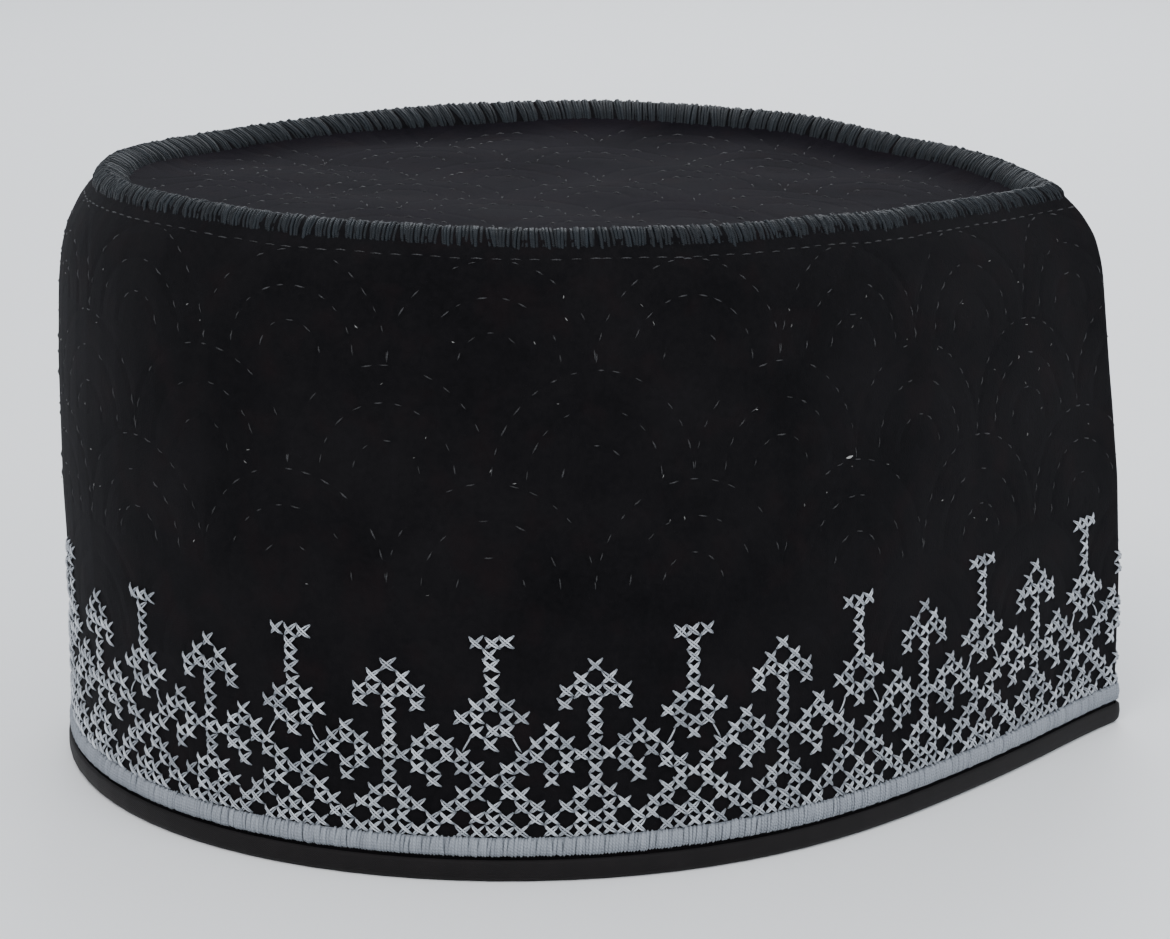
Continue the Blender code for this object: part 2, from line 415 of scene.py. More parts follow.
def thread_piece(name, lines, normals, radius, material, sides=5, tones=0.0, flat=1.0,
                 shaded_end_share=1.0):
    """Many short threads as one mesh. lines is (threads, points, 3), normals the way out of
    the cloth, and radius and tones a number or one for each thread. The ends are drawn in,
    and the last argument is the share of its tone that a thread keeps there: painted shade
    where the thread sinks into the cloth."""
    lines, normals = np.asarray(lines), np.asarray(normals)
    count, length = lines.shape[:2]
    if normals.ndim == 2:
        normals = np.repeat(normals[:, None], length, axis=1)
    tangents = np.gradient(lines, axis=1)
    across = unit(np.cross(tangents, normals))
    lift = unit(np.cross(across, tangents))
    taper = np.ones(length)
    taper[0] = taper[-1] = THREAD_END
    radii = np.broadcast_to(np.reshape(radius, (-1, 1)), (count, length)) * taper
    mesh, ring, side = loose_tubes(name, count, length, sides)
    angles = side / sides * 2 * math.pi
    places = (lines[:, ring]
              + across[:, ring] * (np.cos(angles) * radii[:, ring])[..., None]
              - lift[:, ring] * (np.sin(angles) * radii[:, ring] * flat)[..., None])
    places = slumped(places.reshape(-1, 3)).astype(np.float32)
    mesh.vertices.foreach_set("co", places.ravel())
    steps = np.linalg.norm(np.diff(lines, axis=1), axis=2)
    walked = np.concatenate([np.zeros((count, 1)), np.cumsum(steps, axis=1)], axis=1)
    u = walked[:, ring] / MM
    set_corner_uv(mesh, np.stack([u, np.broadcast_to(side / sides, u.shape)], -1), wraps=True)
    # Painted shade: the tone falls off towards the thread's ends, where it sinks into the cloth,
    # and peaks in the middle of its arch
    ends = shaded_end_share + (1 - shaded_end_share) * np.sin(np.linspace(0, math.pi, length)) ** 0.8
    tones = np.broadcast_to(np.reshape(tones, (-1, 1)), (count, length)) * ends
    set_tone(mesh, tones[:, ring].ravel())
    return smooth_piece(name, mesh, material)


def math_method(operation, reflected=False):
    """A method that makes a Math node of this value and another."""
    def method(self, other):
        both = [other, self] if reflected else [self, other]
        return self.graph.node("ShaderNodeMath", both, operation=operation)
    return method


class Wire:
    """A value inside a node tree. Sums, products and the like make Math nodes."""

    def __init__(self, graph, socket):
        self.graph = graph
        self.socket = socket

    def math(self, operation, *others):
        """A Math node with this value as its first input."""
        return self.graph.node("ShaderNodeMath", [self, *others], operation=operation)

    __add__ = __radd__ = math_method("ADD")
    __sub__, __rsub__ = math_method("SUBTRACT"), math_method("SUBTRACT", reflected=True)
    __mul__ = math_method("MULTIPLY")
    __truediv__ = math_method("DIVIDE")
    __pow__ = math_method("POWER")
    __lt__ = math_method("LESS_THAN")

    def between(self, low, high):
        """0 at low, 1 at high, and even in between."""
        return ((self - low) / (high - low)).math("MINIMUM", 1.0).math("MAXIMUM", 0.0)


class Graph:
    """The node tree of one material."""

    def __init__(self, name, **constants):
        self.material = bpy.data.materials.new(name)
        self.material.use_nodes = True
        self.nodes = self.material.node_tree.nodes
        self.links = self.material.node_tree.links
        self.shader = self.nodes["Principled BSDF"]
        for key, value in constants.items():
            socket = self.shader.inputs[key.replace("_", " ")]
            socket.default_value = (*value, 1.0) if isinstance(value, tuple) else value

    def node(self, kind, inputs=(), output=0, **settings):
        """Any node: its settings, its inputs by place or by name, and the output wanted."""
        node = self.nodes.new(kind)
        for key, value in settings.items():
            setattr(node, key, value)
        pairs = inputs.items() if isinstance(inputs, dict) else enumerate(inputs)
        for key, value in pairs:
            if isinstance(value, Wire):
                self.links.new(value.socket, node.inputs[key])
            else:
                node.inputs[key].default_value = value
        return Wire(self, node.outputs[output])

    def place(self):
        """Object coordinates."""
        return self.node("ShaderNodeTexCoord", output="Object")

    def uv(self):
        """The two numbers of the piece's own UV map."""
        both = self.node("ShaderNodeUVMap", uv_map="UVMap")
        return (self.node("ShaderNodeSeparateXYZ", [both], output="X"),
                self.node("ShaderNodeSeparateXYZ", [both], output="Y"))

    def tone(self):
        """The number that set_tone stored on the mesh."""
        return self.node("ShaderNodeAttribute", output="Fac", attribute_name="tone")

    def noise(self, scale, detail=3.0, roughness=0.55):
        """Noise from 0 to 1 with this many cells to the metre."""
        return self.node("ShaderNodeTexNoise", {
            "Vector": self.place(), "Scale": scale, "Detail": detail, "Roughness": roughness})

    def mix(self, share, low, high):
        """A colour between two colours."""
        low, high = (end if isinstance(end, Wire) else (*end, 1.0) for end in (low, high))
        return self.node("ShaderNodeMix", {"Factor": share, 6: low, 7: high}, output=2,
                         data_type="RGBA")

    def bump(self, height, distance, strength=1.0, normal=None):
        """A bump whose height is in shares of a distance in metres."""
        inputs = {"Height": height, "Distance": distance, "Strength": strength}
        if normal:
            inputs["Normal"] = normal
        return self.node("ShaderNodeBump", inputs)

    def set(self, **wires):
        """Join wires to the shader's inputs and give back the material."""
        for key, wire in wires.items():
            self.links.new(wire.socket, self.shader.inputs[key.replace("_", " ")])
        return self.material


def sizes():
    """The thread and cloth sizes of this scene."""
    return bpy.context.scene.skullcap_sizes


def colours():
    """The colours of this scene."""
    return bpy.context.scene.skullcap_colours


def shade(colour, share):
    """A darker colour."""
    return tuple(part * share for part in colour)


def velvet(name, low, high, top, sheen=0.018, shine=0.045):
    """Short black nap: mottled, with a soft sheen, fine grain and quilted channels below a
    height of the UV map."""
    graph = Graph(name, Sheen_Weight=sheen, Sheen_Roughness=0.5, Specular_IOR_Level=shine)
    graph.shader.inputs["Sheen Tint"].default_value = (0.75, 0.78, 0.86, 1.0)
    cloud = graph.noise(55, 4.0)
    nap = graph.noise(900, 4.0, 0.7)
    pile = graph.noise(3800, 2.0, 0.6)
    share = (cloud.between(0.32, 0.70) * 0.6 + nap.between(0.35, 0.68) * 0.45)
    colour = graph.mix(share, low, high)
    warm = graph.noise(130, 2.0).between(0.52, 0.75) * 0.35
    colour = graph.mix(warm, colour, colours().mottle)
    height = nap * 0.5 + pile * 0.6
    bump = graph.bump(height, 0.35 * MM, 0.55)
    bump = graph.bump(1.0 - scale_channels(graph, top), 0.22 * MM, 0.5, bump)
    return graph.set(Base_Color=colour, Roughness=0.80 + nap * 0.18, Normal=bump)


def scale_channels(graph, top):
    """1 on the arcs of the scale quilting and 0 between them. The UV map counts scale
    radii, with a row of scales standing on each whole number."""
    across, up = graph.uv()
    band = up.math("FLOOR")
    rise = up - band
    shift = (band * 0.5).math("FRACT") * 2.0
    aside = ((across + shift) * 0.5 + 0.5).math("FRACT") * 2.0 - 1.0
    away = (aside * aside + rise * rise) ** 0.5
    ring = ((away * 3.0 + 0.5).math("FRACT") - 0.5).math("ABSOLUTE")
    return (1.0 - ring.between(0.0, 0.24)) * (away < 1.08) * (up < top)


def thread_material(name, dark, light, roughness, sheen, plies=2.0, twist=0.9, shine=0.5,
                    metal=0.0):
    """Twisted thread: plies wind round it, and each length has its own tone."""
    graph = Graph(name, Sheen_Weight=sheen, Sheen_Roughness=0.35, Specular_IOR_Level=shine,
                  Metallic=metal)
    along, around = graph.uv()
    wound = ((along * twist + around) * plies * 2 * math.pi).math("SINE") * 0.5 + 0.5
    fuzz = graph.noise(6000, 2.0)
    share = graph.tone() * 0.55 + wound * 0.25 + fuzz * 0.2
    colour = graph.mix(share, dark, light)
    bump = graph.bump(wound + fuzz * 0.4, 0.12 * MM, 0.6)
    return graph.set(Base_Color=colour, Roughness=roughness + fuzz * 0.2, Normal=bump)


def felt(name, low, high):
    """Plain felt of the inside."""
    graph = Graph(name, Sheen_Weight=0.15, Sheen_Roughness=0.5, Specular_IOR_Level=0.2)
    fibre = graph.noise(1400, 4.0, 0.7)
    cloud = graph.noise(70, 3.0)
    colour = graph.mix(fibre * 0.6 + cloud * 0.4, low, high)
    bump = graph.bump(fibre, 0.4 * MM, 0.5)
    return graph.set(Base_Color=colour, Roughness=0.85 + fibre * 0.12, Normal=bump)


def twill(name, low, high):
    """Smooth closely woven strip: fine slanting ribs, with the UV map in millimetres."""
    graph = Graph(name, Sheen_Weight=0.03, Sheen_Roughness=0.4, Specular_IOR_Level=0.16)
    along, across = graph.uv()
    rib = ((along * 2.4 + across * 2.4) * 2 * math.pi).math("SINE") * 0.5 + 0.5
    pick = ((along * 3.1 - across * 3.1) * 2 * math.pi).math("SINE") * 0.5 + 0.5
    wear = graph.noise(160, 4.0)
    colour = graph.mix(wear.between(0.35, 0.75) * 0.7 + rib * 0.3, low, high)
    bump = graph.bump(rib * 0.7 + pick * 0.3 + wear * 0.6, 0.10 * MM, 0.5)
    return graph.set(Base_Color=colour, Roughness=0.62 + rib * 0.1 + wear * 0.12, Normal=bump)


def metres(value, name, description, least=0.0):
    """A length that the panel shows."""
    return bpy.props.FloatProperty(name=name, description=description, default=value,
                                   min=least, precision=5, unit="LENGTH")


def tint(value, name, description):
    """A colour that the panel shows."""
    return bpy.props.FloatVectorProperty(name=name, description=description, default=value,
                                         subtype="COLOR", min=0, max=1)


class SkullcapSizes(bpy.types.PropertyGroup):
    """Sizes of the cloth and thread pieces."""

    cross_thread: metres(0.158 * MM, "Border thread",
                         "Radius of each thread of the border's crosses")
    cross_gap: metres(0.44 * MM, "Doubled gap",
                      "Distance between the two threads of one stroke")
    cross_arch: metres(0.40 * MM, "Border arch",
                       "How far a cross stands off the cloth in the middle")
    row_height: metres(2.26 * MM, "Border row",
                       "Height of one row of crosses")
    satin_thread: metres(0.36 * MM, "Hem thread",
                         "Radius of the satin strands of the hem")
    satin_pitch: metres(0.56 * MM, "Hem pitch",
                        "Distance between the satin strands of the hem", 0.0001)
    overcast_thread: metres(0.34 * MM, "Seam thread",
                            "Radius of the overcast strands of the crown seam")
    overcast_pitch: metres(2.6 * MM, "Seam pitch",
                           "Distance between the overcast stitches", 0.0001)
    stitch_thread: metres(0.15 * MM, "Quilting thread",
                          "Radius of the quilting and running stitches")
    stitch_length: metres(2.0 * MM, "Stitch length",
                          "Length of a quilting stitch")
    stitch_gap: metres(1.5 * MM, "Stitch gap",
                       "Gap between quilting stitches")
    quilt_rise: metres(12.0 * MM, "Quilting top",
                       "Highest arcs of the quilting above the turn's foot")
    running_rise: metres(12.3 * MM, "Running line",
                         "Line of running stitches above the turn's foot")
    binding_strip: metres(12.0 * MM, "Binding strip",
                          "Width of the strip before it is folded")
    cloth_thickness: metres(1.8 * MM, "Crown thickness",
                            "Thickness of the crown panel")


class SkullcapColours(bpy.types.PropertyGroup):
    """Colours of the cloth, the threads and the stage."""

    wall_low: tint((0.0022, 0.0021, 0.0026), "Wall, deep",
                   "Deepest colour of the wall's velvet")
    wall_high: tint((0.0068, 0.0062, 0.0070), "Wall, worn",
                    "Lightest colour of the wall's velvet")
    # Partly painted light: the crown's colours are a little lighter than the wall's because the
    # top catches more light from above; their purplish tint is the panel's own
    crown_low: tint((0.0032, 0.0028, 0.0040), "Crown, deep",
                    "Deepest colour of the crown's velvet")
    crown_high: tint((0.0080, 0.0064, 0.0090), "Crown, worn",
                     "Lightest colour of the crown's velvet")
    mottle: tint((0.0095, 0.0055, 0.0060), "Mottling",
                 "Warm tint of worn spots in the velvet")
    silver_dark: tint((0.115, 0.130, 0.155), "Silver thread, dark",
                      "Darkest colour of the border's thread")
    silver_light: tint((0.70, 0.74, 0.79), "Silver thread, light",
                       "Lightest colour of the border's thread")
    hem_dark: tint((0.125, 0.138, 0.16), "Hem thread, dark",
                   "Darkest colour of the hem's strands")
    hem_light: tint((0.28, 0.305, 0.34), "Hem thread, light",
                    "Lightest colour of the hem's strands")
    navy_dark: tint((0.0022, 0.0029, 0.0042), "Seam thread, dark",
                    "Darkest colour of the overcast strands")
    navy_light: tint((0.0105, 0.0150, 0.0195), "Seam thread, light",
                     "Lightest colour of the overcast strands")
    stitch: tint((0.034, 0.034, 0.038), "Quilting thread",
                 "Colour of the black quilting thread")
    binding_low: tint((0.0032, 0.0026, 0.0028), "Binding, deep",
                      "Deepest colour of the rim binding")
    binding_high: tint((0.0075, 0.0060, 0.0064), "Binding, worn",
                       "Lightest colour of the rim binding")
    lint: tint((0.34, 0.34, 0.33), "Lint",
               "Colour of the lint on the velvet")
    floor: tint((0.88, 0.885, 0.89), "Floor",
                "Colour of the floor")


def quilt_radius():
    """Radius of one scale of the quilting: two of them to a repeat of the border."""
    return skin.length / BORDER_REPEATS / 2


class SKULLCAP_OT_wall(bpy.types.Operator):
    """Velvet wall with its turned top and plain felt inside"""
    bl_idname = "skullcap.wall"
    bl_label = "Side wall"

    columns = 840
    outer_rows = 58
    over_rows = 12
    inner_rows = 14
    channel_top = 1.03                      # the quilted channels end here on the UV map
    inner_rise = 7.0 * MM                   # how far the inside goes on above the turn's foot
    # Round the turned cloth's edge: millimetres in and up from the top of the inside
    lip = ((4.05, 5.6), (7.3, 3.4), (7.3, 2.4), (3.9, 4.4))

    def execute(self, context):
        run = np.linspace(0, skin.length, self.columns + 1)
        turn = skin.turn_at(run)
        foot = skin.foot_at(turn)
        radius = quilt_radius()
        base = sizes().quilt_rise - radius * SCALE_TALL
        climbs = [WALL_FOOT + (foot - WALL_FOOT) * share
                  for share in np.linspace(0, 1, self.outer_rows)]
        climbs += [foot + TURN_REACH * TURN_LAST * share
                   for share in np.linspace(0, 1, self.over_rows + 1)[1:]]
        outer = [skin.point(run, climb) for climb in climbs]
        uv = [np.stack([run - FORK_RUN, (climb - foot - base) / SCALE_TALL], -1) / radius
              for climb in climbs]
        inner = self.inner_points(turn, foot) + [outer[0]]
        uv += level_uv(run / MM, [-50.0 - index for index in range(len(inner))])
        look = colours()
        piece = sheet_piece("velvet_wall", outer + inner, uv,
                            velvet("wall_velvet", look.wall_low, look.wall_high,
                                   self.channel_top),
                            felt("wall_felt", look.wall_low, look.wall_high), len(outer))
        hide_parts("side_wall")
        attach(piece, "root")
        return {"FINISHED"}

    def inner_points(self, turn, foot):
        """Rows of the inside, from under the crown down to the rim."""
        wall = tree_of("side_wall")
        out = outward(turn)
        rows = []
        for share in np.linspace(1, 0, self.inner_rows):
            height = WALL_FOOT + (foot + self.inner_rise - WALL_FOOT) * share
            reach = with_mean(FAR - reach_of(wall, UP * height[:, None], out, FAR))
            rows.append(polar(turn, reach, height))
        return [rows[0] - out * inward * MM + UP * rise * MM for inward, rise in self.lip] + rows


class SKULLCAP_OT_crown(bpy.types.Operator):
    """Dished velvet crown with soft folds"""
    bl_idname = "skullcap.crown"
    bl_label = "Crown panel"

    columns = 480
    rings = 60
    under_rings = 10
    under_seam = 3.5 * MM                   # how far the panel reaches past the turn's middle
    smoothings = 3

    def height(self, places):
        """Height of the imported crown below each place."""
        start = places.reshape(-1, 3) + UP * FAR
        found = reach_of(skin.crown, start, np.broadcast_to(-UP, start.shape), FAR)
        return found.reshape(places.shape[:-1])

    def execute(self, context):
        turn = np.linspace(-math.pi, math.pi, self.columns, endpoint=False)
        edge = skin.top_reach(turn) - TURN_WIDTH + self.under_seam
        shares = np.linspace(0, 1, self.rings + 1)[1:] ** CROWN_SPACING
        places = outward(turn) * edge[:, None] * shares[:, None, None]
        height = fill_gaps(self.height(places))
        for _ in range(self.smoothings):
            height[1:-1] = (height[:-2] + 2 * height[1:-1] + height[2:]) / 4
            height = (np.roll(height, 1, 1) + 2 * height + np.roll(height, -1, 1)) / 4
        height += self.folds(places, shares)
        places[..., 2] = height
        hub = np.zeros((1,) + places.shape[1:])
        hub[..., 2] = height[0].mean()
        top = np.concatenate([hub, places])
        skin.crown_edge, skin.crown_heights = edge, top[..., 2]
        kept = (np.linspace(0, 1, self.under_rings + 1) * self.rings).astype(int)
        under = top[kept] - UP * sizes().cloth_thickness
        rows = np.concatenate([under, top[::-1]])
        rows = np.concatenate([rows, rows[:, :1]], 1)
        look = colours()
        # The crown's colours are partly painted light: lighter than the wall's, as the top catches
        # more light from above
        piece = sheet_piece("velvet_crown", rows,
                            rows[..., :2] / quilt_radius() / (1, SCALE_TALL) + (0.0, 0.5),
                            velvet("crown_velvet", look.crown_low, look.crown_high, 99.0,
                                   sheen=0.015, shine=0.03))
        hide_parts("crown_panel")
        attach(piece, "root")
        return {"FINISHED"}

    def folds(self, places, shares):
        """Soft unevenness of the crown, still at its edge."""
        x, y = places[..., 0], places[..., 1]
        calm = (1 - shares ** 6)[:, None]
        wave = 0.35 * np.sin(x * 75 + 0.6) * np.sin(y * 95 + 1.1)
        wave += 0.22 * np.sin(x * 140 - y * 60) + 0.15 * np.sin(x * 50 + y * 190 + 2)
        return wave * calm * MM


class SKULLCAP_OT_seam(bpy.types.Operator):
    """Overcast stitches over the joint of wall and crown"""
    bl_idname = "skullcap.seam"
    bl_label = "Crown seam"

    columns = 720
    rows = 13
    first = math.radians(58.5)
    last = math.radians(97)
    middle = 1.3                            # an angle between them
    core_lift = -0.32 * MM
    slant = (-1.7 * MM, 0.8 * MM)           # mean and spread of how far a stitch leans
    # Tone of each of the threads of one stitch, the outer two darker as painted shade in the gaps
    # between stitches, and how deep it lies
    bundle = ((0.30, 0.12 * MM), (0.92, 0.0), (0.75, 0.02 * MM), (0.25, 0.13 * MM))

    def execute(self, context):
        rng = np.random.default_rng(11)
        look, size = colours(), sizes()
        navy = thread_material("seam_thread", look.navy_dark, look.navy_light, 0.42, 0.0,
                               plies=3.0, shine=0.2)
        run = np.linspace(0, skin.length, self.columns + 1)
        angles = np.linspace(self.first, self.last, self.rows)
        rows = [skin.seam_point(run, np.full_like(run, angle), self.core_lift) for angle in angles]
        core = sheet_piece("seam_core", rows, level_uv(run / MM, angles),
                           velvet("seam_velvet", look.wall_low, look.wall_high, -99.0))
        stitches = int(skin.length / size.overcast_pitch)
        threads = len(self.bundle)
        count = stitches * threads
        middle = np.arange(stitches) * skin.length / stitches + rng.normal(0, 0.22 * MM, stitches)
        middle = np.repeat(middle, threads)
        gap_shaded_tone, deep = (np.tile(values, stitches) for values in zip(*self.bundle))
        aside = (np.arange(threads) - (threads - 1) / 2) * size.overcast_pitch / threads
        aside = np.tile(aside, stitches) + rng.normal(0, 0.07 * MM, count)
        slants = np.repeat(rng.normal(*self.slant, stitches), threads)
        slants = slants + rng.normal(0, 0.35 * MM, count)
        first = self.first + rng.normal(0, 0.035, count)
        final = self.last - rng.uniform(0, 0.07, count)
        lines = []
        for share in np.linspace(0, 1, 9):
            arch = (-0.13 - 0.70 * (1 - math.sin(math.pi * share) ** 0.45)) * MM
            together = 0.75 + 0.25 * math.sin(math.pi * share)
            lines.append(skin.seam_point(
                middle + aside * together + slants * (share - 0.5),
                first + (final - first) * share,
                arch - deep + rng.normal(0, 0.03 * MM, count)))
        lines = np.stack(lines, 1)
        level = np.full_like(middle, self.middle)
        normals = unit(skin.seam_point(middle, level) - skin.seam_point(middle, level, -2 * MM))
        radius = size.overcast_thread * rng.uniform(0.85, 1.15, count)
        # The outer threads of each stitch are darker: painted shade between the stitches
        tones = np.repeat(rng.uniform(0.25, 1, stitches), threads) * gap_shaded_tone
        strands = thread_piece("overcast_strands", lines, normals, radius, navy, sides=6,
                               tones=np.clip(tones + rng.normal(0, 0.12, count), 0, 1), flat=0.8)
        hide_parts("crown_seam")
        for piece in (core, strands):
            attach(piece, "root")
        return {"FINISHED"}


class SKULLCAP_OT_hem(bpy.types.Operator):
    """Satin-stitch line above the rim"""
    bl_idname = "skullcap.hem"
    bl_label = "Hem band"

    columns = 720

    def execute(self, context):
        rng = np.random.default_rng(5)
        look, size = colours(), sizes()
        grey = thread_material("hem_thread", look.hem_dark, look.hem_light, 0.5, 0.2)
        low, high = (corner[2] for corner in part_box("hem_band"))
        run = np.linspace(0, skin.length, self.columns + 1)
        rows = []
        for climb, off in ((low, 0.1), (low + 0.4 * MM, 0.42), (high - 0.4 * MM, 0.42),
                           (high, 0.1)):
            place = skin.point(run, np.full_like(run, climb))
            rows.append(place + outward(skin.turn_at(run)) * off * MM)
        core = sheet_piece("hem_core", rows, level_uv(run / MM, range(len(rows))), grey, tone=0.0)
        count = int(skin.length / size.satin_pitch)
        start = np.arange(count) * skin.length / count + rng.normal(0, 0.06 * MM, count)
        lean = rng.normal(0.25 * MM, 0.18 * MM, count)
        bottom = low - 0.25 * MM + rng.normal(0, 0.06 * MM, count)
        top = high + 0.05 * MM + rng.normal(0, 0.14 * MM, count)
        lines = []
        for share in (0.0, 0.12, 0.5, 0.88, 1.0):
            off = (0.12 + 0.55 * math.sin(math.pi * share) ** 0.4 if 0 < share < 1 else 0.1) * MM
            climb = bottom + (top - bottom) * share
            place = skin.point(start + lean * share, climb)
            lines.append(place + outward(skin.turn_at(start)) * off)
        strands = thread_piece("satin_strands", np.stack(lines, 1), outward(skin.turn_at(start)),
                               size.satin_thread * rng.uniform(0.85, 1.15, count), grey, sides=5,
                               tones=np.clip(rng.normal(0.6, 0.18, count), 0, 1))
        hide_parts("hem_band")
        for piece in (core, strands):
            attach(piece, "root")
        return {"FINISHED"}


class SKULLCAP_OT_binding(bpy.types.Operator):
    """Cloth strip folded round the foot of the wall"""
    bl_idname = "skullcap.binding"
    bl_label = "Rim binding"

    columns = 720
    first = math.radians(43)
    last = math.radians(-223)
    rows = 30
    inside = 1.3 * MM                       # the fold's middle lies this far in the felt
    ray = 20 * MM
    tucked = 0.35 * MM                      # its two edges are pressed into the wall
    mean_radius, row_width = 90, 0.45       # in millimetres, for the UV map

    def execute(self, context):
        tree = tree_of("rim_binding")
        turn = np.linspace(-math.pi, math.pi, self.columns + 1)
        low, high = (corner[2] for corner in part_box("rim_binding"))
        middle = blend_ring(skin.reach[0], turn) - self.inside
        centre = polar(turn, middle, (low + high) / 2)
        rows = []
        for angle in np.linspace(self.first, self.last, self.rows):
            way = outward(turn) * math.cos(angle) + UP * math.sin(angle)
            reach = with_mean(reach_of(tree, centre + way * self.ray, -way, self.ray))
            if angle in (self.first, self.last):
                reach -= self.tucked
            rows.append(centre + way * reach[:, None])
        uv = level_uv(turn * self.mean_radius, [row * self.row_width for row in range(self.rows)])
        look = colours()
        piece = sheet_piece("satin_binding", rows[::-1], uv[::-1],
                            twill("binding_cloth", look.binding_low, look.binding_high))
        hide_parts("rim_binding")
        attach(piece, "root")
        return {"FINISHED"}


class SKULLCAP_OT_border(bpy.types.Operator):
    """Cross-stitched border of forks and anchors over a lattice"""
    bl_idname = "skullcap.border"
    bl_label = "Cross-stitched border"

    # The legs go from the first to the second of these rows, counted from the top, and of
    # these cells, counted from the fork's axis
    leg_rows = (7.9, 9.2)
    leg_cells = (1.35, 2.0)
    leg_arch = 0.3 * MM

    def centres(self):
        """Run and climb of each cross, and of the two legs under each fork."""
        cell = skin.length / BORDER_REPEATS / BORDER_CELLS
        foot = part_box("hem_band")[1][2]
        rows = len(BORDER_HALF)
        crosses, legs = [], []
        for repeat in range(BORDER_REPEATS):
            axis = FORK_RUN + repeat * BORDER_CELLS * cell
            for row, line in enumerate(BORDER_HALF):
                climb = foot + (rows - row - 0.5) * sizes().row_height
                for column, mark in enumerate(line):
                    if mark != "X":
                        continue
                    crosses.append((axis + column * cell, climb))
                    if 0 < column < len(line) - 1:
                        crosses.append((axis - column * cell, climb))
            for side in (-1, 1):
                legs.append([number for row, away in zip(self.leg_rows, self.leg_cells)
                             for number in (axis + side * away * cell,
                                            foot + (rows - row) * sizes().row_height)])
        return np.array(crosses), np.array(legs), cell

    def execute(self, context):
        rng = np.random.default_rng(3)
        look, size = colours(), sizes()
        silver = thread_material("silver_thread", look.silver_dark, look.silver_light, 0.32, 0.1,
                                 shine=0.8, metal=0.25)
        crosses, legs, cell = self.centres()
        count = len(crosses)
        crosses = crosses + rng.normal(0, 0.08 * MM, crosses.shape)
        own_tone = rng.normal(0.62, 0.25, count)
        for stroke, (name, slope) in enumerate((("border_under", 1), ("border_over", -1))):
            lines, normals, tones = [], [], []
            half = np.array([cell, size.row_height]) * 0.50
            way = half / np.linalg.norm(half)
            across = np.array([-way[1] * slope, way[0]])
            ends = []
            for sign in (-1, 1):
                corner = crosses + sign * np.array([half[0], half[1] * slope])
                ends.append(corner + rng.normal(0, 0.10 * MM, corner.shape))
            for side in (-0.5, 0.5):
                high = size.cross_arch * (0.75 + 0.65 * stroke)
                gap = rng.normal(1.0, 0.25, (count, 1)) * across * side * size.cross_gap
                lines.append(self.strokes(*ends, high, gap))
                normals.append(outward(skin.turn_at(crosses[:, 0])))
                tones.append(np.clip(own_tone + rng.normal(0, 0.28, count), 0.05, 1.2))
            if stroke:
                lines.append(self.strokes(legs[:, :2], legs[:, 2:], self.leg_arch,
                                          np.zeros((len(legs), 2))))
                normals.append(outward(skin.turn_at(legs[:, 0])))
                tones.append(rng.uniform(0.3, 0.7, len(legs)))
            # Painted shade: these threads keep a tenth of their tone at their ends, where they
            # sink into the cloth
            piece = thread_piece(name, np.concatenate(lines), np.concatenate(normals),
                                 size.cross_thread, silver, sides=4,
                                 tones=np.concatenate(tones), shaded_end_share=0.1)
            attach(piece, "root")
        return {"FINISHED"}

    def strokes(self, start, end, high, gap):
        """Arched lines over the cloth from start to end, each a run and a climb. They lie a
        gap aside in the middle, and the two threads of a stroke share their ends' holes."""
        points = []
        for share in (0.0, 0.22, 0.5, 0.78, 1.0):
            bow = math.sin(math.pi * share)
            at = start + (end - start) * share + gap * (0.25 + 0.75 * bow)
            off = (0.06 * MM + high * bow ** 0.7) if 0 < share < 1 else 0.02 * MM
            place = skin.point(at[:, 0], at[:, 1])
            points.append(place + outward(skin.turn_at(at[:, 0])) * off)
        return np.stack(points, 1)


def arc_stitches(rng):
    """Starts and ends of the stitches along the three arcs of one scale that stands at the
    origin."""
    radius, size = quilt_radius(), sizes()
    starts, ends = [], []
    for ring in (radius, radius * 2 / 3, radius / 3):
        count = max(int(math.pi * ring / (size.stitch_length + size.stitch_gap)), 3)
        for index in range(count):
            if rng.uniform() < SUNK_STITCHES:
                continue
            middle = (index + 0.5 + rng.normal(0, 0.09)) / count * math.pi
            half = size.stitch_length * rng.uniform(0.6, 1.1) / 2 / ring
            for angle, store in ((middle - half, starts), (middle + half, ends)):
                store.append((ring * math.cos(angle), ring * math.sin(angle) * SCALE_TALL))
    return np.array([starts, ends])


def scale_stitches(places, rng):
    """Starts and ends of the stitches of the scales that stand on these places."""
    return np.concatenate([arc_stitches(rng) + place for place in places], 1)


